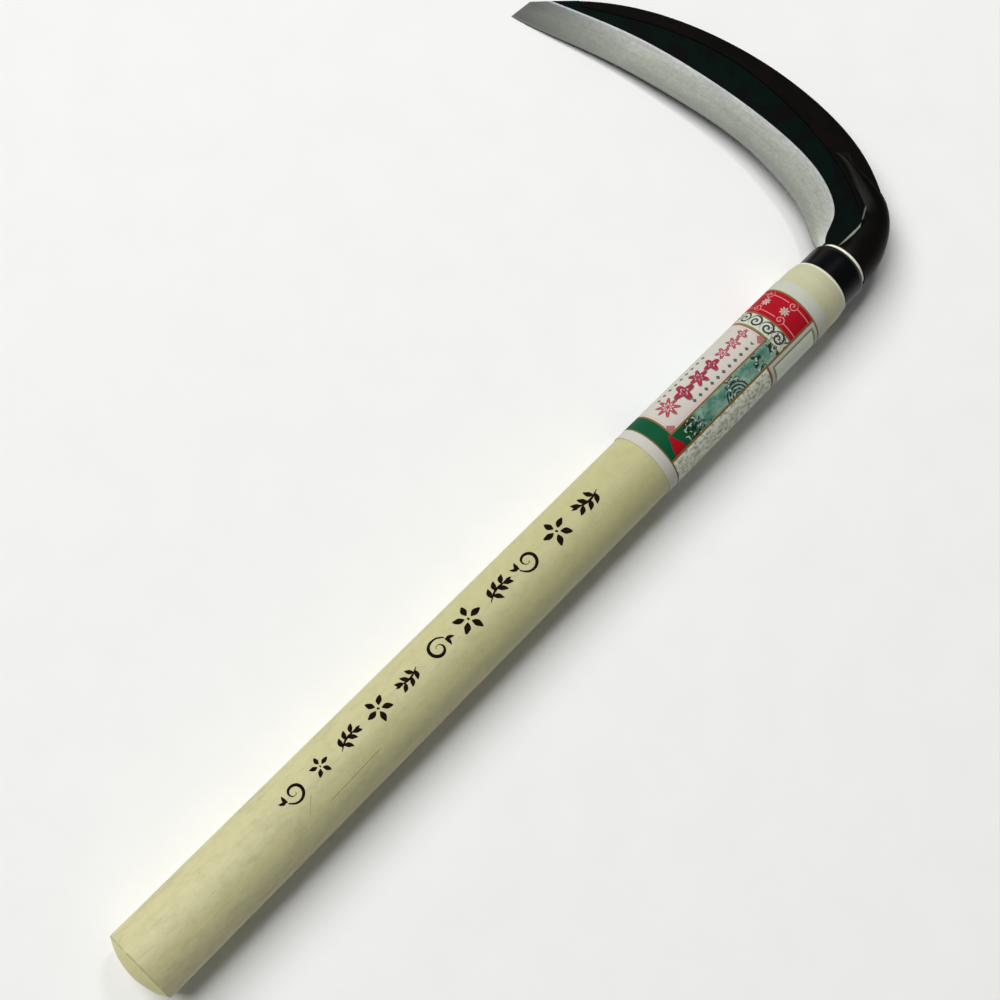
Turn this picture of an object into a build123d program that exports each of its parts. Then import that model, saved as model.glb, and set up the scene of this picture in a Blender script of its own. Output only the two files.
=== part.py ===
from build123d import *
import os
from math import asin, atan, cos, degrees, radians, sin

os.makedirs("parts", exist_ok=True)

# Overall sizes, in millimetres. X runs from the butt to the head, the blade reaches towards +Y.
handle_length = 400.0  # butt rim to the shoulder the ferrule sits on
butt_radius = 16.3
head_radius = 14.9
blade_reach = 183.7  # handle axis to the blade's tip, in the blade's own plane

# Handle
butt_dome = 4.6
butt_round = 0.8
head_ease_length = 6.0
head_ease_drop = 0.9
head_rim = 0.7

# Ferrule, ring and neck
ferrule_length = 13.6
ferrule_radius = 13.7
ferrule_top_drop = 2.1  # how far the shoulder falls in towards the ring
ferrule_shoulder = 3.8
ferrule_wall = 1.5
ferrule_end_wall = 1.8
ring_width = 1.2
ring_proud = 0.2  # ring above the ferrule's end
ring_round = 0.3
neck_proud = 0.5  # neck above the ring

# Tang
tang_length = 92.0
tang_root_width = 12.0
tang_root_thickness = 6.0
tang_end_width = 7.0
tang_end_thickness = 3.5

# Blade plate
plate_thickness = 1.6
edge_thickness = 0.06
hone_width = 1.2  # the narrow honed strip along the cutting edge
hone_height = 0.22
heel_overhang = 2.5  # how far the heel reaches back past the neck
heel_drop = 0.2  # heel below the ferrule's side, clear of its rounded shoulder

# Folded back
back_thickness = 3.6
back_tip_thickness = 2.3
back_round = 1.0
back_end_width = 3.0
back_fold = 1.2  # metal outside the plate's rim, where the band ends

# Printed wrapper
label_start = 282.4
label_end = 386.0
label_thickness = 0.25

# Fits
fit_gap = 0.02  # between seated faces
tang_gap = 0.1  # round the tang in the wood
slot_gap = 0.03  # each side of the plate in the folded back

# Where things sit
neck_start = handle_length + ferrule_length + ring_width + 2 * fit_gap
ring_start = handle_length + ferrule_length + fit_gap
ferrule_top_radius = ferrule_radius - ferrule_top_drop
ring_radius = ferrule_top_radius + ring_proud
neck_radius = ring_radius + neck_proud
spigot_radius = ferrule_radius - ferrule_wall - fit_gap
spigot_length = ferrule_length - ferrule_end_wall - fit_gap
tang_hole_radius = (tang_root_width**2 + tang_root_thickness**2) ** 0.5 / 2 + tang_gap

# Lying on a table the tool rests on the butt and the tip, so the blade is tipped down to the table.
rest_tilt = degrees(asin((butt_radius - plate_thickness / 2) / blade_reach))
tilt = radians(rest_tilt)
spine_reach = 0.2825 * blade_reach
middle_x = (neck_start + spine_reach - butt_dome) / 2
middle_y = (blade_reach * cos(tilt) - butt_radius) / 2
blade_plane = Plane(
    origin=(-middle_x, -middle_y, butt_radius),
    x_dir=(1, 0, 0),
    z_dir=(0, sin(tilt), cos(tilt)),
)
handle_axis = Axis(blade_plane.origin, blade_plane.x_dir)


def across(x, y=0.0, turn=0.0):
    # a plane square to the handle axis, or turned with the bend of the back
    middle = blade_plane.from_local_coords(Vector(x, y, 0))
    ahead = blade_plane.from_local_coords(
        Vector(x + cos(radians(turn)), y + sin(radians(turn)), 0)
    )
    side = blade_plane.from_local_coords(
        Vector(x - sin(radians(turn)), y + cos(radians(turn)), 0)
    )
    return Plane(origin=middle, x_dir=side - middle, z_dir=ahead - middle)


def on_blade(points):
    # outline points given as shares of the reach, measured from the neck's start
    return [(neck_start + u * blade_reach, v * blade_reach) for u, v in points]


def wood_radius(x):
    return butt_radius + (head_radius - butt_radius) * x / handle_length


# Handle: straight tapered wood, domed butt, eased head and a spigot for the ferrule
ease_start = handle_length - head_ease_length
ease_radius = wood_radius(ease_start)
rim_radius = ease_radius - head_ease_drop
with BuildPart() as handle:
    with BuildSketch(blade_plane):
        with BuildLine():
            TangentArc((-butt_dome, 0), (0, butt_radius), tangent=(0, 1))
            Polyline(
                (0, butt_radius),
                (ease_start, ease_radius),
                (handle_length - head_rim, rim_radius),
                (handle_length, rim_radius - head_rim),
                (handle_length, spigot_radius),
                (handle_length + spigot_length, spigot_radius),
                (handle_length + spigot_length, 0),
                (-butt_dome, 0),
            )
        make_face()
    revolve(axis=handle_axis)
    rings = handle.edges().filter_by(GeomType.CIRCLE).filter_by(lambda e: e.is_closed)
    fillet(rings.sort_by(Axis.X)[0], butt_round)
    with BuildSketch(across(handle_length + spigot_length)):
        Rectangle(tang_root_width + 2 * tang_gap, tang_root_thickness + 2 * tang_gap)
    with BuildSketch(across(neck_start - tang_length - 1)):
        Rectangle(tang_end_width + 2 * tang_gap, tang_end_thickness + 2 * tang_gap)
    loft(mode=Mode.SUBTRACT)

# Printed wrapper glued round the upper handle
with BuildPart() as label:
    with BuildSketch(blade_plane):
        with BuildLine():
            Polyline(
                (label_start, wood_radius(label_start) + fit_gap),
                (label_end, wood_radius(label_end) + fit_gap),
                (label_end, wood_radius(label_end) + fit_gap + label_thickness),
                (label_start, wood_radius(label_start) + fit_gap + label_thickness),
                close=True,
            )
        make_face()
    revolve(axis=handle_axis)

# Ferrule: a short steel cap with a rounded shoulder
with BuildPart() as ferrule:
    with BuildSketch(blade_plane):
        with BuildLine():
            base = handle_length + fit_gap
            top = handle_length + ferrule_length
            turn_in = top - ferrule_shoulder
            Line((base, ferrule_radius), (turn_in, ferrule_radius))
            Spline(
                (turn_in, ferrule_radius),
                (top, ferrule_top_radius),
                tangents=[(1, 0), (0.4, -0.9)],
            )
            Polyline(
                (top, ferrule_top_radius),
                (top, tang_hole_radius),
                (top - ferrule_end_wall, tang_hole_radius),
                (top - ferrule_end_wall, spigot_radius + fit_gap),
                (base, spigot_radius + fit_gap),
                (base, ferrule_radius),
            )
        make_face()
    revolve(axis=handle_axis)

# Pale ring between the ferrule and the neck
with BuildPart() as collar_ring:
    with BuildSketch(across(ring_start)):
        Circle(ring_radius)
        Circle(tang_hole_radius, mode=Mode.SUBTRACT)
    extrude(amount=ring_width)
    rims = collar_ring.edges().filter_by(GeomType.CIRCLE).sort_by(SortBy.RADIUS)[-2:]
    fillet(rims, ring_round)

# Outlines shared by the plate and the folded back, as shares of the reach
edge_line = on_blade([(0.030, 0.152), (0.056, 0.250), (0.064, 0.357), (0.036, 0.566), (-0.0255, 0.795)])
ridge_curl = on_blade([(0.020, 0.073), (0.082, 0.097)])
ridge_line = on_blade([(0.127, 0.152), (0.1555, 0.330), (0.126, 0.588), (0.082, 0.762), (0.031, 0.893)])
spine_line = on_blade([(0.205, 0.045), (0.255, 0.142)])
spine_far = on_blade([(0.236, 0.610), (0.128, 0.828)])
step_line = on_blade([(0.125, 0.770), (0.189, 0.631), (0.222, 0.457), (0.219, 0.326), (0.196, 0.196)])
step_start = on_blade([(0.118, 0.035)])[0]
neck_outer = on_blade([(0.155, -0.018)])[0]
heel = (neck_start - heel_overhang, ferrule_radius - heel_drop)
tip = (neck_start - 0.099 * blade_reach, blade_reach)
end_corner = (neck_start - 0.039 * blade_reach, 0.995 * blade_reach)
spine_widest = (neck_start + spine_reach, 0.327 * blade_reach)
back_end = (neck_start + 0.052 * blade_reach, 0.915 * blade_reach)
back_end_inner = (back_end[0] - 0.6 * back_end_width, back_end[1] - 0.8 * back_end_width)

# Blade plate: thin steel, one wide ground face on the front and a honed strip at the edge
plate_back = on_blade([(0.146, 0.780), (0.218, 0.610), (0.250, 0.457), (0.250, 0.327)])
plate_root = on_blade([(0.228, 0.196), (0.156, 0.050)])
rim_start = (back_end[0] - 0.6 * back_fold, back_end[1] - 0.8 * back_fold)
seat_x = neck_start + 2.0
seat_y = -0.15 * neck_radius
heel_inner = (neck_start - 0.3, neck_radius + 0.1)


half = plate_thickness / 2
edge_line = [heel, *edge_line, tip]
hone_line = [(x + hone_width, y) for x, y in edge_line]
# the ridge, the hone line and the edge, each carried past both ends of the plate
ground_lines = [
    (half + 0.01, ridge_curl + ridge_line, 1.5, 12.0),
    (edge_thickness + hone_height - half, hone_line, hone_width - 1.5, hone_width - 2.0),
    (edge_thickness - half, edge_line, -1.5, -2.0),
    (-half - 0.01, edge_line, -1.5, -2.0),
]
ground_far = neck_start - 0.35 * blade_reach
# the blank is left wide of the edge, which the grinding then cuts
blank_tip = (1.4 * tip[0] - 0.4 * end_corner[0], 1.4 * tip[1] - 0.4 * end_corner[1])
blank_heel = (1.6 * heel[0] - 0.6 * heel_inner[0], 1.6 * heel[1] - 0.6 * heel_inner[1])
with BuildPart() as blade_plate:
    with BuildSketch(blade_plane):
        with BuildLine():
            Polyline(blank_heel, blank_tip, end_corner, back_end)
            Line(back_end, rim_start)
            Spline(rim_start, *plate_back, *plate_root)
            Polyline(
                plate_root[-1],
                (plate_root[-1][0], seat_y),
                (seat_x, seat_y),
                (seat_x, heel_inner[1]),
                heel_inner,
                blank_heel,
            )
        make_face()
    extrude(amount=half, both=True)
    for level, line, heel_shift, tip_shift in ground_lines:
        with BuildSketch(blade_plane.offset(level)):
            with BuildLine():
                first = (heel[0] + heel_shift, heel[1] - 6)
                last = (tip[0] + tip_shift, tip[1] + 8)
                Spline(first, *line, last)
                Polyline(last, (ground_far, last[1]), (ground_far, first[1]), first)
            make_face()
    loft(ruled=True, mode=Mode.SUBTRACT)

# Folded back: a band over the plate's outer rim, swelling into a round neck, with the tang behind it
neck_bend = [
    (0.000, 0.000, 0, 1.00, 1.00),
    (0.030, -0.012, -1, 0.82, 0.83),
    (0.0885, -0.0065, 6, 0.695, 0.577),
    (0.1375, 0.011, 32, 0.535, 0.370),
    (0.1887, 0.073, 60, 0.460, 0.235),
    (0.2280, 0.190, 77, 0.460, 0.105),
]
with BuildPart() as back_metal:
    with BuildSketch(blade_plane):
        with BuildLine():
            Spline(neck_outer, *spine_line, spine_widest, *spine_far, back_end)
            Line(back_end, back_end_inner)
            Spline(back_end_inner, *step_line, step_start)
            Line(step_start, neck_outer)
        make_face()
    extrude(amount=back_thickness / 2, both=True)
    thinning = degrees(atan((back_thickness - back_tip_thickness) / 2 / blade_reach))
    for side in (1, -1):
        slope = blade_plane.offset(side * back_thickness / 2).rotated((-side * thinning, 0, 0))
        split(bisect_by=slope, keep=Keep.BOTTOM if side == 1 else Keep.TOP)
    outer_face = back_metal.faces().filter_by(GeomType.PLANE, reverse=True).sort_by(Axis.X)[-1]
    fillet(outer_face.edges().sort_by(SortBy.LENGTH)[-2:], back_round)
    for u, v, turn, width, thickness in neck_bend:
        with BuildSketch(across(neck_start + u * blade_reach, v * blade_reach, turn)):
            Ellipse(width * neck_radius, thickness * neck_radius)
    loft()
    with BuildSketch(across(neck_start)):
        Rectangle(tang_root_width, tang_root_thickness)
    with BuildSketch(across(neck_start - tang_length)):
        Rectangle(tang_end_width, tang_end_thickness)
    loft()
    with BuildSketch(blade_plane):
        with BuildLine():
            Line(end_corner, back_end)
            Line(back_end, rim_start)
            Spline(rim_start, *plate_back, *plate_root)
            Polyline(
                plate_root[-1],
                (plate_root[-1][0], seat_y - slot_gap),
                (seat_x - slot_gap, seat_y - slot_gap),
                (seat_x - slot_gap, 3 * neck_radius),
                end_corner,
            )
        make_face()
    extrude(amount=half + slot_gap, both=True, mode=Mode.SUBTRACT)

handle.part.label = "handle"
export_step(handle.part, "parts/handle.step")
label.part.label = "paper_label"
export_step(label.part, "parts/paper_label.step")
ferrule.part.label = "ferrule"
export_step(ferrule.part, "parts/ferrule.step")
collar_ring.part.label = "collar_ring"
export_step(collar_ring.part, "parts/collar_ring.step")
blade_plate.part.label = "blade_plate"
export_step(blade_plate.part, "parts/blade_plate.step")
back_metal.part.label = "back_metal"
export_step(back_metal.part, "parts/back_metal.step")

for piece in (handle, label, ferrule, collar_ring, blade_plate, back_metal):
    box = piece.part.bounding_box()
    print(piece.part.label, len(piece.part.solids()), round(piece.part.volume, 1), box.min, box.max)
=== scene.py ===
import math

import bpy
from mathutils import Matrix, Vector, noise


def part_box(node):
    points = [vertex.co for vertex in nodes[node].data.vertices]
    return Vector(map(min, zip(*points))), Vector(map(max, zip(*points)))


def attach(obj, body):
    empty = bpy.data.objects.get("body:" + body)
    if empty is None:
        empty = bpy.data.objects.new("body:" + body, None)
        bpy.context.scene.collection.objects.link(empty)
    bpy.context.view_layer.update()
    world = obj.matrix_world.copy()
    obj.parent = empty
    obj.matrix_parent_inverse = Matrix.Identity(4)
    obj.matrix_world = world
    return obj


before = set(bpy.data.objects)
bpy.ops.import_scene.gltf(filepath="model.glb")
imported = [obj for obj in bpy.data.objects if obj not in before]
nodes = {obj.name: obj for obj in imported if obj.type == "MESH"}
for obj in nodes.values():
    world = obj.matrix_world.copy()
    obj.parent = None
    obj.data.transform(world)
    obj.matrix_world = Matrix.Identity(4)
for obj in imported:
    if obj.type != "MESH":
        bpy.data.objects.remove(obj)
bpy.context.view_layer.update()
bpy.ops.object.select_all(action="DESELECT")
print("frame loaded:", sorted(nodes))


# shader helpers

def tone(red, green, blue):  # screen colour 0-255 to linear
    shares = [c / 255 for c in (red, green, blue)]
    linear = [c / 12.92 if c <= 0.0404 else ((c + 0.055) / 1.055) ** 2.4 for c in shares]
    return (*linear, 1.0)


class Wire:  # a socket that can be used in an expression
    def __init__(self, finish, socket):
        self.finish = finish
        self.socket = socket

    def maths(self, operation, *others, clamp=False):
        values = {i: v for i, v in enumerate((self, *others))}
        return self.finish.node("ShaderNodeMath", {"operation": operation, "use_clamp": clamp}, values)

    def __add__(self, other):
        return self.maths("ADD", other)

    def __radd__(self, other):
        return self.maths("ADD", other)

    def __sub__(self, other):
        return self.maths("SUBTRACT", other)

    def __rsub__(self, other):
        return self.finish.node("ShaderNodeMath", {"operation": "SUBTRACT"}, {0: other, 1: self})

    def __mul__(self, other):
        return self.maths("MULTIPLY", other)

    def __rmul__(self, other):
        return self.maths("MULTIPLY", other)

    def __truediv__(self, other):
        return self.maths("DIVIDE", other)

    def __abs__(self):
        return self.maths("ABSOLUTE")

    def above(self, at, soft=0.12):  # 0 below a value, 1 above it
        return ((self - at) / soft).maths("ADD", 0.5, clamp=True)

    def below(self, at, soft=0.12):
        return ((at - self) / soft).maths("ADD", 0.5, clamp=True)

    def between(self, low, high, soft=0.12):
        return self.above(low, soft) * self.below(high, soft)

    def either(self, other):
        return self.maths("MAXIMUM", other)

    def repeat(self, start, pitch):  # distance from the middle of each repeat
        return (((self - start) / pitch).maths("FRACT") - 0.5) * pitch


class Finish:
    def __init__(self, name):
        self.material = bpy.data.materials.new(name)
        self.material.use_nodes = True
        self.tree = self.material.node_tree
        self.tree.nodes.clear()
        place = self.node("ShaderNodeTexCoord", output="Object")
        split = self.node("ShaderNodeSeparateXYZ", inputs={0: place}).socket.node
        self.place = place
        self.x, self.y, self.z = [Wire(self, out) for out in split.outputs]

    def node(self, kind, settings=None, inputs=None, output=0):
        made = self.tree.nodes.new(kind)
        for key, value in (settings or {}).items():
            setattr(made, key, value)
        for key, value in (inputs or {}).items():
            if isinstance(value, Wire):
                self.tree.links.new(value.socket, made.inputs[key])
            else:
                made.inputs[key].default_value = value
        return Wire(self, made.outputs[output])

    def mix(self, first, second, share):
        return self.node("ShaderNodeMix", {"data_type": "RGBA"}, {0: share, 6: first, 7: second}, 2)

    def vector(self, x, y, z):
        return self.node("ShaderNodeCombineXYZ", inputs={0: x, 1: y, 2: z})

    def noise(self, where, detail=3.0, rough=0.55):
        values = {"Vector": where, "Scale": 1.0, "Detail": detail, "Roughness": rough}
        return self.node("ShaderNodeTexNoise", inputs=values)

    def cells(self, where):
        return self.node("ShaderNodeTexVoronoi", inputs={"Vector": where, "Scale": 1.0})

    def along(self, axis):  # signed distance in mm along a fixed direction from a fixed point
        start, way = axis
        values = {0: self.place, 1: tuple(way)}
        dot = self.node("ShaderNodeVectorMath", {"operation": "DOT_PRODUCT"}, values, 1)
        return (dot - start.dot(way)) * 1000

    def surface(self, colour, rough, bump=None, bumpDepth=0.0001, **fixed):  # the depth is in metres
        values = {"Base Color": colour, "Roughness": rough}
        values.update({key.replace("_", " "): value for key, value in fixed.items()})
        if bump is not None:
            raised = {"Height": bump, "Strength": 1.0, "Distance": bumpDepth}
            values["Normal"] = self.node("ShaderNodeBump", inputs=raised)
        shader = self.node("ShaderNodeBsdfPrincipled", inputs=values)
        out = self.tree.nodes.new("ShaderNodeOutputMaterial")
        self.tree.links.new(shader.socket, out.inputs["Surface"])


def dress(node, finish):
    for held in nodes[node].material_slots:
        held.material = finish.material


# where the handle and the blade lie

low, high = [Vector(c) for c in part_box("handle")]
build = {
    "buttDome": 0.0046, "buttRadius": 0.0163, "headRadius": 0.0149, "woodLength": 0.400,
    "wrapperRadius": 0.01535, "bladeReach": 0.1837, "halfPlate": 0.0008,
}
buttX = low.x + build["buttDome"]
axisY = (low.y + high.y) / 2
axisZ = (low.z + high.z) / 2
# the blade is tipped until its point rests on the table
tilt = math.asin((build["buttRadius"] - build["halfPlate"]) / build["bladeReach"])
bladeUp = Vector((0, math.sin(tilt), math.cos(tilt)))
bladeAcross = Vector((0, math.cos(tilt), -math.sin(tilt)))
axisPoint = Vector((buttX, axisY, axisZ))


def roundHandle(finish, radius):  # mm from the butt rim, and mm round the wood from its top
    along = (finish.x - buttX) * 1000
    turn = (finish.y - axisY).maths("ARCTAN2", finish.z - axisZ)
    return along, turn * (radius * 1000)


# wood

wood = {
    "light": tone(200, 196, 152), "deep": tone(187, 182, 136), "upper": tone(177, 174, 126),
    "pore": tone(146, 137, 95), "smudge": tone(132, 125, 98), "sanded": tone(188, 187, 159),
    # the first tone on the next line is a painted highlight for the wood's end by the ferrule
    "rim": tone(226, 224, 204), "end": tone(206, 202, 142), "roughness": 0.5, "shine": 0.35,
    # mm from the butt rim
    "handled": 150, "darkens": 140, "sandedFrom": 384, "rimFrom": 398.5, "rimTo": 400.2,
    # mm round from the top, mm along, slope, half width, first and last mm, fade
    "scratches": [(-7.2, 90, 0.03, 0.16, 92, 119, 3), (-5.5, 82, 1.0, 0.12, 82, 88, 1)],
}


def woodFinish():
    f = Finish("paleWood")
    along, wrapped = roundHandle(f, build["buttRadius"])
    yy = (f.y - axisY) * 1000
    zz = (f.z - axisZ) * 1000
    drift = f.noise(f.vector(along * 0.01, yy * 0.03, zz * 0.03), 2.0)
    broad = f.noise(f.vector(along * 0.006, yy * 0.22 + drift * 2, zz * 0.22))
    fine = f.noise(f.vector(along * 0.035, yy * 2.4, zz * 2.4), 4.0)
    pores = f.noise(f.vector(along * 0.10, yy * 5.5, zz * 5.5), 2.0).above(0.66, 0.08)
    colour = f.mix(wood["light"], wood["deep"], (broad * 0.8 + fine * 0.3).above(0.58, 0.5))
    colour = f.mix(colour, wood["upper"], along.above(wood["darkens"], 250) * 0.85)
    mottle = f.noise(f.vector(along * 0.22, yy * 0.30, zz * 0.30), 4.0, 0.6)
    colour = f.mix(colour, wood["pore"], mottle.above(0.60, 0.3) * 0.22)
    pits = f.cells(f.vector(along * 0.30, yy * 0.42, zz * 0.42)).below(0.09, 0.06) * mottle.above(0.52, 0.1)
    colour = f.mix(colour, wood["pore"], (pores * 0.25).either(pits * 0.7))
    grime = f.noise(f.vector(along * 0.05, wrapped * 0.12, 3.0), 4.0, 0.65).above(0.62, 0.2)
    colour = f.mix(colour, wood["smudge"], grime * along.below(wood["handled"], 160) * 0.35)
    colour = f.mix(colour, wood["sanded"], along.above(wood["sandedFrom"], 30) * 0.85)
    # painted highlight: a pale line round the wood's end by the ferrule, where its chamfer catches the light
    colour = f.mix(colour, wood["rim"], along.between(wood["rimFrom"], wood["rimTo"], 0.3) * 0.9)
    scratch = None
    for across, start, slope, width, first, last, fade in wood["scratches"]:
        offLine = abs(wrapped - across - (along - start) * slope)
        made = offLine.below(width, 0.2) * along.between(first, last, fade)
        scratch = made if scratch is None else scratch.either(made)
    scratch = scratch * f.noise(f.vector(along * 0.6, 1.0, 0.0)).above(0.42, 0.2)
    colour = f.mix(colour, wood["smudge"], scratch * 0.8)
    # end grain on the butt, and its worn rim
    ringCentre = f.vector(0.0, yy - 5, zz + 9)
    ring = f.node("ShaderNodeVectorMath", {"operation": "LENGTH"}, {0: ringCentre}, 1)
    rings = ((ring + broad * 3) * 3.1).maths("SINE") * 0.5 + 0.5
    colour = f.mix(colour, wood["end"], along.below(-0.3, 0.4))
    colour = f.mix(colour, wood["smudge"], rings * along.below(0.0, 0.6) * 0.14)
    worn = (along + mottle * 0.8).between(0.0, 0.6, 0.3) * mottle.above(0.46, 0.1)
    colour = f.mix(colour, wood["pore"], worn * 0.55)
    height = fine * 0.6 + pores * -0.5 + scratch * -3
    rough = fine * 0.12 + (wood["roughness"] - 0.06)
    f.surface(colour, rough, height, 0.00005, Specular_IOR_Level=wood["shine"])
    return f


# printed wrapper

paper = {
    "white": tone(189, 185, 176), "margin": tone(182, 184, 170), "green": tone(4, 76, 45),
    "teal": tone(62, 112, 96), "paleTeal": tone(134, 164, 148), "gold": tone(122, 94, 52),
    "red": tone(158, 10, 28), "pink": tone(214, 150, 154), "ink": tone(22, 26, 26),
    "motifRed": tone(150, 26, 56), "motifDark": tone(88, 14, 30),
    "grey": tone(216, 219, 202), "greyDark": tone(150, 153, 136), "cloud": tone(190, 194, 178),
    "frameGreen": tone(118, 130, 96), "framePale": tone(198, 208, 190), "roughness": 0.5, "shine": 0.06,
    # first and last mm from the butt rim
    "printed": (287.5, 379.6), "greenBand": (288.0, 297.5), "wedge": (291.2, 297.2), "strip": (297.2, 356.8),
    "cloudBand": (357.2, 364.0), "redBand": (364.8, 378.8), "floral": (288.2, 348.0),
    # nested frames: first and last mm along, then round the wood
    "panelGold": (295.2, 356.6, 0.2, 28.0), "panelWhite": (296.0, 355.8, 1.0, 27.2),
    "hairOuter": (296.7, 355.1, 1.7, 26.5), "hairInner": (297.0, 354.8, 2.0, 26.2),
    "upperFrom": -7.6, "lowerTo": -8.7,  # mm round the wood from its top
    # first and last mm along, and mm round where it starts, from outside in
    "sideFrame": (349.2, 378.8), "sideGreen": (350.8, 377.2, -10.4), "sidePale": (351.8, 376.2, -11.4),
    # red flowers: mm from the butt rim, size, petals, shaded
    "motifs": [
        (304.5, 6.2, 8, 0), (314.6, 5.4, 4, 1), (323.8, 5.0, 6, 1), (332.2, 4.2, 4, 1), (339.4, 4.0, 5, 0),
        (346.0, 4.0, 6, 0), (352.0, 3.4, 4, 0),
    ],
    "motifMiddle": 10.2, "shadeShift": (0.35, 0.4),
    # rows of dots: mm round the wood, first and last mm, pitch
    "dotRows": [(3.6, 312.0, 351.0, 3.7), (17.2, 304.0, 334.5, 3.5)],
    # dark garden ornaments on the teal strip: mm from the butt rim, half length
    "clumps": [(305.5, 6.5), (331.0, 6.0), (346.8, 3.4), (356.0, 3.0)],
    "arches": (330.5, -8.2, 6.2),  # middle along and round, radius
    "whiteFlowers": (14.0, 3.5),  # mm round, on the red band
}


def polar(u, v):
    r = (u * u + v * v).maths("SQRT")
    return r, v.maths("ARCTAN2", u)


def rosette(u, v, size, petals, turn=0.0):
    r, angle = polar(u, v)
    wave = (angle * petals + turn).maths("COSINE")
    petal = (r - wave * (size * 0.24)).below(size * 0.66, 0.25)
    gap = (r - wave * (size * 0.10)).between(size * 0.20, size * 0.32, 0.2)
    vein = abs((angle * petals + turn).maths("SINE") * r).below(0.22, 0.2)
    vein = vein * wave.above(0.0, 0.3) * r.above(size * 0.40, 0.2)
    return petal * (1 - gap) * (1 - vein * 0.7)


def wrapperFinish():
    f = Finish("printedPaper")
    along, across = roundHandle(f, build["wrapperRadius"])
    blur = f.noise(f.vector(along * 0.9, across * 0.9, 0.0), 2.0) - 0.5
    s = along + blur * 0.25
    a = across + blur * 0.25
    colour = f.mix(paper["white"], paper["margin"], along.above(paper["printed"][1] - 0.1, 0.3))
    field = s.between(*paper["printed"])
    colour = f.mix(colour, paper["gold"], field)
    upper = a.above(paper["upperFrom"])

    # green band and the red wedge at its corner
    colour = f.mix(colour, paper["green"], s.between(*paper["greenBand"]) * upper)
    wedgeMiddle = sum(paper["wedge"]) / 2
    wedge = s.between(*paper["wedge"]) * (abs(s - wedgeMiddle) * 2.2 + a).below(1.2) * upper
    colour = f.mix(colour, paper["red"], wedge)

    # teal strip with dark ornaments
    strip = s.between(*paper["strip"]) * upper
    wash = f.noise(f.vector(s * 0.10, a * 0.2, 2.0)).above(0.5, 0.25)
    tealTone = f.mix(paper["teal"], paper["paleTeal"], wash)
    tealTone = f.mix(tealTone, paper["green"], s.below(308, 6))
    clump = None
    for at, half in paper["clumps"]:
        made = (abs(s - at) / half + abs(a + 4.6) * 0.10).below(0.95, 0.25)
        clump = made if clump is None else clump.either(made)
    leafy = f.noise(f.vector(s * 0.50, a * 0.62, 7.0), 3.0, 0.6)
    figures = (leafy.above(0.50, 0.05) * clump).either(leafy.above(0.66, 0.04))
    archAt, archRound, archSize = paper["arches"]
    r = polar(s - archAt, a - archRound)[0]
    arches = abs(r.repeat(0.6, 1.5)).below(0.40, 0.2) * r.below(archSize)
    tealTone = f.mix(tealTone, paper["ink"], (figures * r.above(archSize)).either(arches) * 0.92)
    pale = f.noise(f.vector(s * 0.55, a * 0.7, 21.0), 2.0).above(0.60, 0.05) * clump
    tealTone = f.mix(tealTone, paper["grey"], pale * 0.6)
    colour = f.mix(colour, tealTone, strip)

    # white panel, its frame and corners
    def framed(name):
        first, last, nearSide, farSide = paper[name]
        return s.between(first, last) * a.between(nearSide, farSide)

    colour = f.mix(colour, paper["gold"], framed("panelGold"))
    inside = framed("panelWhite")
    colour = f.mix(colour, paper["white"], inside)
    hair = inside * (1 - framed("hairInner")) * framed("hairOuter")
    colour = f.mix(colour, paper["pink"], hair * 0.9)
    first, last, nearSide, farSide = paper["hairInner"]
    for cornerA in (nearSide, farSide):
        for cornerS in (first, last):
            near = (abs(s - cornerS) + abs(a - cornerA)).below(2.6, 0.3) * inside
            colour = f.mix(colour, paper["motifRed"], near * 0.75)

    # column of red flowers and rows of small dots
    middle = paper["motifMiddle"]
    shiftS, shiftA = paper["shadeShift"]
    for at, size, petals, shaded in paper["motifs"]:
        if shaded:
            shade = rosette(s - at + shiftS, a - middle + shiftA, size * 1.08, petals, 0.7)
            colour = f.mix(colour, paper["motifDark"], shade * 0.85)
        flower = rosette(s - at, a - middle, size, petals, 0.7)
        colour = f.mix(colour, paper["motifRed"], flower * 0.92)
    for rowA, first, last, pitch in paper["dotRows"]:
        u = s.repeat(first, pitch)
        dot = (abs(u) + abs(a - rowA) * 0.9).below(0.95, 0.3)
        colour = f.mix(colour, paper["ink"], dot * s.between(first, last) * 0.85)

    # cloud band
    cloud = s.between(*paper["cloudBand"]) * upper
    colour = f.mix(colour, paper["cloud"], cloud)
    cloudMiddle = sum(paper["cloudBand"]) / 2
    r, angle = polar(s - cloudMiddle, a.repeat(-6.0, 6.4))
    curl = abs((r - angle * 0.32).repeat(0.0, 2.0)).below(0.46, 0.25) * r.below(3.4, 0.3)
    hatch = f.noise(f.vector(s * 0.9, a * 0.55, 1.0), 2.0).above(0.58, 0.06)
    colour = f.mix(colour, paper["ink"], cloud * curl.either(hatch * a.below(3.0, 2.0)) * 0.95)

    # red band with scrolls and two white flowers
    red = s.between(*paper["redBand"]) * upper
    colour = f.mix(colour, paper["red"], red)
    redMiddle = sum(paper["redBand"]) / 2
    edgeGap = abs(s - redMiddle)
    scrollR, scrollAngle = polar(edgeGap - 4.6, a.repeat(-4.0, 13.0))
    inScroll = scrollR.below(2.3)
    scroll = abs((scrollR - scrollAngle * 0.2).repeat(0.0, 1.7)).below(0.22, 0.2) * inScroll
    rule = abs(edgeGap - 4.7).below(0.18, 0.2) * (1 - inScroll)
    colour = f.mix(colour, paper["pink"], red * scroll.either(rule) * 0.85)
    for at in paper["whiteFlowers"]:
        colour = f.mix(colour, paper["white"], red * rosette(s - redMiddle, a - at, 2.6, 8) * 0.9)

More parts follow.
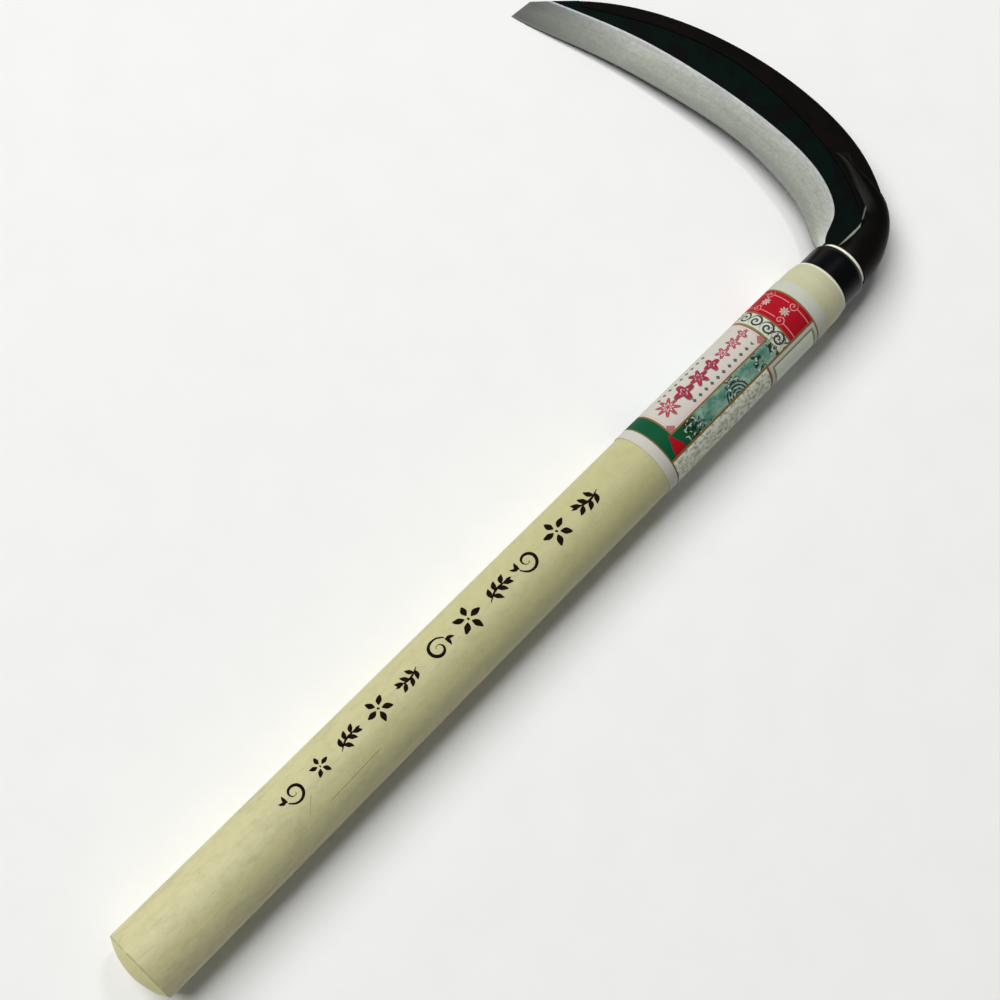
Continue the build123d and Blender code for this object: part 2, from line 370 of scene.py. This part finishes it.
    # panels below: a grey floral one and a framed pale one
    lower = a.below(paper["lowerTo"]) * field
    leaves = f.noise(f.vector(s * 0.5, a * 0.5, 4.0), 4.0, 0.65).above(0.54, 0.14)
    floral = f.mix(paper["grey"], paper["greyDark"], leaves)
    sprig = rosette(s.repeat(289.0, 8.0), a.repeat(-50.0, 8.0), 2.8, 5)
    floral = f.mix(floral, paper["greyDark"], sprig * 0.35)
    colour = f.mix(colour, floral, lower * s.between(*paper["floral"]))
    frameMask = lower * s.between(*paper["sideFrame"])
    colour = f.mix(colour, paper["white"], frameMask)
    first, last, starts = paper["sideGreen"]
    colour = f.mix(colour, paper["frameGreen"], frameMask * s.between(first, last) * a.below(starts))
    inner = f.mix(paper["framePale"], paper["grey"], f.noise(f.vector(s * 0.4, a * 0.4, 9.0)))
    first, last, starts = paper["sidePale"]
    colour = f.mix(colour, inner, frameMask * s.between(first, last) * a.below(starts))
    outline = abs(s - paper["printed"][0]).below(0.12, 0.15)
    colour = f.mix(colour, paper["ink"], outline * 0.6)

    fibre = f.noise(f.vector(f.x * 9000, f.y * 9000, f.z * 9000), 2.0)
    colour = f.mix(colour, paper["white"], fibre.above(0.62, 0.2) * 0.04)
    f.surface(colour, fibre * 0.1 + paper["roughness"], fibre, 0.00001, Specular_IOR_Level=paper["shine"])
    return f


# black lacquer, steel and the pale ring

lacquer = {
    "black": tone(7, 8, 10), "brown": tone(9, 8, 6), "greenBlack": tone(4, 17, 13),
    # the last, pale tone on the next line is a painted highlight along the crease beside the plate
    "redBlack": tone(17, 9, 8), "scuff": tone(40, 42, 38), "creaseHighlight": tone(140, 150, 134),
    "ferruleRough": 0.24, "ferruleShine": 0.14, "backRough": 0.34, "backShine": 0.05,
    # painted highlight along the crease beside the plate: mm out along the blade, middle along the handle,
    # half width, taper
    "creaseOut": 6.5, "creaseMiddle": 427.5, "creaseHalf": 0.75, "creaseTaper": 0.062,
    "creaseBends": 433, "creaseSlope": 0.36,
    # its faint far end, also painted highlight: mm out at a place along the handle, slope, first and last mm
    "farOut": 9.2, "farFrom": 440, "farSlope": 0.5, "farRange": (438, 443),
}


def bladeWays(f):  # mm along the handle, mm out along the blade, mm above the middle of the plate
    return [f.along((axisPoint, way)) for way in (Vector((1, 0, 0)), bladeAcross, bladeUp)]


def blackFinish(name, base, rough, wobble, shine, creaseHighlight=False):
    f = Finish(name)
    x, y, z = f.x * 1000, f.y * 1000, f.z * 1000
    slow = f.noise(f.vector(x * 0.09, y * 0.09, z * 0.12), 2.0)
    skin = f.noise(f.vector(x * 1.1, y * 1.1, z * 1.1), 3.0)
    nicks = f.noise(f.vector(x * 0.8, y * 2.1, z * 0.8), 4.0, 0.7).above(0.76, 0.05)
    colour = f.mix(base, lacquer["redBlack"], slow.above(0.55, 0.1) * 0.6)
    colour = f.mix(colour, lacquer["scuff"], nicks * 0.35)
    roughness = skin * 0.14 + (rough - 0.07) + nicks * 0.2
    if creaseHighlight:  # painted highlight along the crease beside the plate, where the step catches the light
        s, reach, height = bladeWays(f)
        bend = (s - lacquer["creaseBends"]).maths("MAXIMUM", 0.0) * lacquer["creaseSlope"]
        line = abs(reach - bend - lacquer["creaseOut"])
        width = lacquer["creaseHalf"] - abs(s - lacquer["creaseMiddle"]) * lacquer["creaseTaper"]
        crease = ((width - line) / 0.35).maths("ADD", 0.5, clamp=True) * height.above(0.6, 0.4)
        farLine = abs(reach - lacquer["farOut"] - (s - lacquer["farFrom"]) * lacquer["farSlope"])
        farHighlight = farLine.below(0.35, 0.4) * s.between(*lacquer["farRange"], 1.5) * 0.45
        crease = crease.either(farHighlight) * (skin * 0.5 + 0.7)
        # the crease and its far end get a pale painted highlight colour
        colour = f.mix(colour, lacquer["creaseHighlight"], crease)
    f.surface(colour, roughness, slow * wobble + skin * 0.12, 0.0003, Specular_IOR_Level=shine)
    return f


steel = {
    "ridgeSide": tone(178, 180, 174), "middle": tone(151, 155, 144), "edgeSide": tone(121, 124, 116),
    "tip": tone(83, 85, 81), "streak": tone(86, 88, 84),
    # the first tone on the next line is a painted highlight on the bevel's ridge line
    "ridge": tone(200, 200, 211), "hone": tone(90, 92, 90),
    "roughness": 0.46, "metallic": 0.45, "lacquerRough": 0.30, "shine": 0.05,
    "bevelWidth": 17.5, "bevelDepth": 1.54, "tipReach": 184,  # mm
}


def bladeFinish():
    f = Finish("groundBlade")
    s, reach, height = bladeWays(f)
    depth = build["halfPlate"] * 1000 - height  # mm below the front face
    share = depth / steel["bevelDepth"]  # 0 at the ridge, 1 at the edge
    acrossFace = share * steel["bevelWidth"]
    towardsTip = reach / steel["tipReach"]
    ground = depth.between(0.015, 1.57, 0.014)
    line = f.noise(f.vector(acrossFace * 3.0, reach * 0.02, 0.0), 4.0, 0.6)
    hair = f.noise(f.vector(acrossFace * 12.0, reach * 0.09, 5.0), 3.0, 0.7)
    cloud = f.noise(f.vector(acrossFace * 0.16, reach * 0.05, 1.0), 3.0)
    metal = f.mix(steel["ridgeSide"], steel["middle"], share.above(0.25, 0.4))
    metal = f.mix(metal, steel["edgeSide"], share.above(0.68, 0.3) * 0.8)
    metal = f.mix(metal, steel["tip"], towardsTip.above(0.86, 0.24))
    metal = f.mix(metal, steel["streak"], (line * 0.6 + hair * 0.4).above(0.58, 0.14) * 0.45)
    metal = f.mix(metal, steel["edgeSide"], cloud.above(0.55, 0.3) * 0.35)
    # painted highlight along the bevel's ridge line, stronger towards the tip
    metal = f.mix(metal, steel["ridge"], depth.below(0.09, 0.06) * towardsTip.above(0.4, 0.7) * 0.6)
    metal = f.mix(metal, steel["hone"], share.above(0.91, 0.05) * 0.6)
    grain = f.noise(f.vector(s * 0.9, reach * 0.5, height * 2.0), 5.0, 0.72)
    metal = f.mix(metal, steel["streak"], grain.above(0.56, 0.30) * 0.34)
    coat = f.noise(f.vector(reach * 0.08, s * 0.08, 0.0), 4.0, 0.6)
    black = f.mix(lacquer["black"], lacquer["greenBlack"], coat.above(0.46, 0.12))
    black = f.mix(black, lacquer["redBlack"], coat.below(0.40, 0.08) * 0.8)
    colour = f.mix(black, metal, ground)
    plain = steel["lacquerRough"]
    rough = plain + (steel["roughness"] - plain) * ground + (hair - 0.5) * 0.16 * ground
    skin = f.noise(f.vector(s * 0.7, reach * 0.7, 0.0), 3.0)
    bump = (hair * 0.5 + line * 0.4) * ground * 0.12 + skin * 0.10 * (1 - ground) + cloud * 0.1
    metallic = ground * steel["metallic"]
    f.surface(colour, rough, bump, 0.0002, Metallic=metallic, Specular_IOR_Level=steel["shine"])
    return f


ring = {"pale": tone(240, 240, 220), "worn": tone(220, 218, 188), "roughness": 0.35, "shine": 0.45}


def ringFinish():
    f = Finish("paleRing")
    x, y, z = f.x * 1000, f.y * 1000, f.z * 1000
    mottle = f.noise(f.vector(x * 0.8, y * 0.5, z * 0.5), 3.0)
    colour = f.mix(ring["pale"], ring["worn"], mottle.above(0.55, 0.4))
    f.surface(colour, mottle * 0.1 + ring["roughness"], mottle, 0.00004, Specular_IOR_Level=ring["shine"])
    return f


dress("handle", woodFinish())
dress("paper_label", wrapperFinish())
ferruleLook = (lacquer["ferruleRough"], 0.10, lacquer["ferruleShine"])
backLook = (lacquer["backRough"], 0.45, lacquer["backShine"])
dress("ferrule", blackFinish("ferruleBlack", lacquer["black"], *ferruleLook))
# the back metal gets the painted crease highlight
dress("back_metal", blackFinish("backBrown", lacquer["brown"], *backLook, creaseHighlight=True))
dress("blade_plate", bladeFinish())
dress("collar_ring", ringFinish())
print("finishes made")


# brushed ornaments on the handle

brush = {
    "lift": 0.000012,  # metres above the wood
    "press": 0.03,  # how flat the strokes lie
    "middle": 5.8, "ragged": 0.10,  # mm
    "colour": tone(16, 9, 4), "dry": tone(70, 54, 34), "roughness": 0.6, "shine": 0.04,
    "petals": 5, "petalReach": 6.2, "petalWidth": 1.3, "leafWidth": 1.25, "stemWidth": 0.55,
}
# mm from the butt rim, ornament, turn in degrees, size
ornaments = [
    (84, "curl", 200, 0.92), (98, "blossom", 10, 0.72), (113, "spray", 12, 0.86),
    (129.5, "blossom", 40, 0.95), (146.5, "spray", 184, 0.84), (163, "curl", 20, 1.0),
    (180, "blossom", 0, 1.05), (197, "spray", 8, 0.95), (214, "curl", 190, 1.0),
    (231.5, "blossom", 25, 1.05), (250, "spray", 176, 0.98),
]


def turned(points, angle, shift=(0, 0), size=1.0):
    c, s = math.cos(math.radians(angle)) * size, math.sin(math.radians(angle)) * size
    return [(x * c - y * s + shift[0], x * s + y * c + shift[1], w * size) for x, y, w in points]


def leafStroke(length, width, bend):
    return [(0, 0, 0.12), (0.3 * length, bend, width), (0.68 * length, bend, width * 0.85), (length, 0, 0.06)]


def strokesOf(kind):  # points along, across and half width, in mm
    if kind == "blossom":  # petals about a dot
        wide = brush["petalWidth"]
        petal = [(1.5, 0, 0.15), (2.9, 0.2, wide), (4.5, 0.2, wide), (brush["petalReach"], 0, 0.3)]
        dots = [[(-0.4, 0, 0.55), (0.0, 0, 0.62), (0.4, 0, 0.55)]]
        return dots + [turned(petal, 360 / brush["petals"] * i) for i in range(brush["petals"])]
    if kind == "curl":  # tendril with two leaves on its back
        spiral = []
        for i in range(19):
            angle, share = math.radians(i * 27), i / 18
            r = 5.2 - 4.4 * share
            width = 0.12 + 0.62 * math.sin(math.pi * min(1.0, share * 1.15 + 0.08))
            spiral.append((r * math.cos(angle), r * math.sin(angle), width))
        ends = ((250, (4.9, -0.4)), (318, (4.4, -1.0)))
        leaves = [turned(leafStroke(4.0, 0.85, 0.5), turn, at) for turn, at in ends]
        return [spiral, *leaves]
    # a bowed stem with leaves on both sides and a bud
    wide = brush["stemWidth"]
    stem = [(-6.4, -1.2, 0.15), (-2.5, 0.7, wide), (2.2, 0.5, wide), (5.0, -0.6, 0.2)]
    sides = [
        (-4.6, -0.3, 58), (-3.6, 0.0, -62), (-1.0, 0.5, 50), (0.2, 0.5, -56), (2.9, 0.3, 38), (3.4, 0.0, -44),
    ]
    leaf = leafStroke(4.9, brush["leafWidth"], 0.35)
    leaves = [turned(leaf, turn, (x, y)) for x, y, turn in sides]
    bud = turned(leafStroke(3.4, 0.8, 0.1), -12, (4.6, -0.5))
    return [stem, bud, *leaves]


def paintOrnaments():
    curve = bpy.data.curves.new("brushedOrnaments", "CURVE")
    curve.dimensions = "3D"
    curve.bevel_depth = 1.0
    curve.bevel_resolution = 3
    curve.resolution_u = 10
    curve.use_fill_caps = True
    for at, kind, turn, size in ornaments:
        for stroke in strokesOf(kind):
            spline = curve.splines.new("NURBS")
            spline.points.add(len(stroke) - 1)
            for point, (x, y, w) in zip(spline.points, turned(stroke, turn, (at, brush["middle"]), size)):
                point.co = (x, y, 0, 1)
                point.radius = w
            spline.order_u = 3
            spline.use_endpoint_u = True
    made = bpy.data.objects.new("brushedOrnaments", curve)
    bpy.context.collection.objects.link(made)
    bpy.ops.object.select_all(action="DESELECT")
    made.select_set(True)
    bpy.context.view_layer.objects.active = made
    bpy.ops.object.convert(target="MESH")
    made = bpy.context.object
    taper = (build["headRadius"] - build["buttRadius"]) / build["woodLength"]
    for vertex in made.data.vertices:  # lay the flat strokes round the wood
        along, across, up = vertex.co
        across += noise.noise(Vector((along * 1.7, across * 1.7, 0.0))) * brush["ragged"]
        radius = build["buttRadius"] + taper * along / 1000
        out = radius + brush["lift"] + up / 1000 * brush["press"]
        angle = across / 1000 / radius
        vertex.co = (buttX + along / 1000, axisY + out * math.sin(angle), axisZ + out * math.cos(angle))
    bpy.ops.object.mode_set(mode="EDIT")
    bpy.ops.mesh.select_all(action="SELECT")
    bpy.ops.mesh.normals_make_consistent(inside=False)
    bpy.ops.object.mode_set(mode="OBJECT")
    f = Finish("brushInk")
    along, wrapped = roundHandle(f, build["buttRadius"])
    dry = f.noise(f.vector(along * 0.5, wrapped * 2.6, 0.0), 3.0, 0.6)
    colour = f.mix(brush["colour"], brush["dry"], dry.above(0.62, 0.12) * 0.45)
    f.surface(colour, dry * 0.2 + brush["roughness"], dry, 0.00002, Specular_IOR_Level=brush["shine"])
    made.data.materials.clear()
    made.data.materials.append(f.material)
    bpy.ops.object.shade_smooth()
    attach(made, "root")


paintOrnaments()
print("ornaments painted")


# floor, light and camera

studio = {
    "floor": tone(246, 246, 245), "floorWorn": tone(241, 241, 240), "floorRadius": 4.5, "floorGap": 0.0002,
    "world": 0.09, "wall": 0.52, "wallTop": 0.24, "wallSoft": 0.20,  # a paler band at eye level all round
    # power, size and place of each lamp, and where it points
    "key": (485.0, 4.5, (-1.32, 3.72, 5.79), (0, 0, 0)), "face": (3.0, 0.20, (0.50, 0.34, 1.25), (0.2, 0, 0)),
    "lens": 68.4, "sensor": 36,
    "cameraAt": (-0.22993, -0.08337, 0.75946), "cameraTurn": (13.743, -10.354, -45.896),
}


def floorFinish():
    f = Finish("paleFloor")
    grain = f.noise(f.vector(f.x * 40, f.y * 40, 0.0), 2.0)
    f.surface(f.mix(studio["floor"], studio["floorWorn"], grain), 0.8)
    return f


under = (0, 0, -studio["floorGap"])
bpy.ops.mesh.primitive_circle_add(vertices=96, radius=studio["floorRadius"], fill_type="NGON", location=under)
floor = bpy.context.object
floor.name = "floor"
bpy.ops.object.transform_apply(location=True, rotation=True, scale=True)
floor.data.materials.append(floorFinish().material)


def softLight(name):
    power, size, place, target = studio[name]
    data = bpy.data.lights.new(name, "AREA")
    data.shape = "SQUARE"
    data.size = size
    data.energy = power
    lamp = bpy.data.objects.new(name, data)
    bpy.context.collection.objects.link(lamp)
    lamp.location = place
    lamp.rotation_euler = (Vector(target) - Vector(place)).to_track_quat("-Z", "Y").to_euler()


softLight("key")
softLight("face")
world = bpy.data.worlds.new("studio")
bpy.context.scene.world = world
world.use_nodes = True
sky = world.node_tree.nodes["Background"]
sky.inputs["Color"].default_value = (1, 1, 1, 1)


class Surround(Finish):  # the same way of adding nodes, for the world
    def __init__(self, tree):
        self.tree = tree


around = Surround(world.node_tree)
facing = around.node("ShaderNodeTexCoord", output="Generated")
height = around.node("ShaderNodeSeparateXYZ", inputs={0: facing}, output=2)
paleWall = abs(height).below(studio["wallTop"], studio["wallSoft"])
strength = paleWall * (studio["wall"] - studio["world"]) + studio["world"]
world.node_tree.links.new(strength.socket, sky.inputs["Strength"])
bpy.context.scene.view_settings.view_transform = "Standard"

cameraData = bpy.data.cameras.new("camera")
cameraData.lens = studio["lens"]
cameraData.sensor_width = studio["sensor"]
camera = bpy.data.objects.new("camera", cameraData)
bpy.context.collection.objects.link(camera)
camera.location = studio["cameraAt"]
camera.rotation_euler = [math.radians(turn) for turn in studio["cameraTurn"]]
bpy.context.scene.camera = camera
print("studio ready")
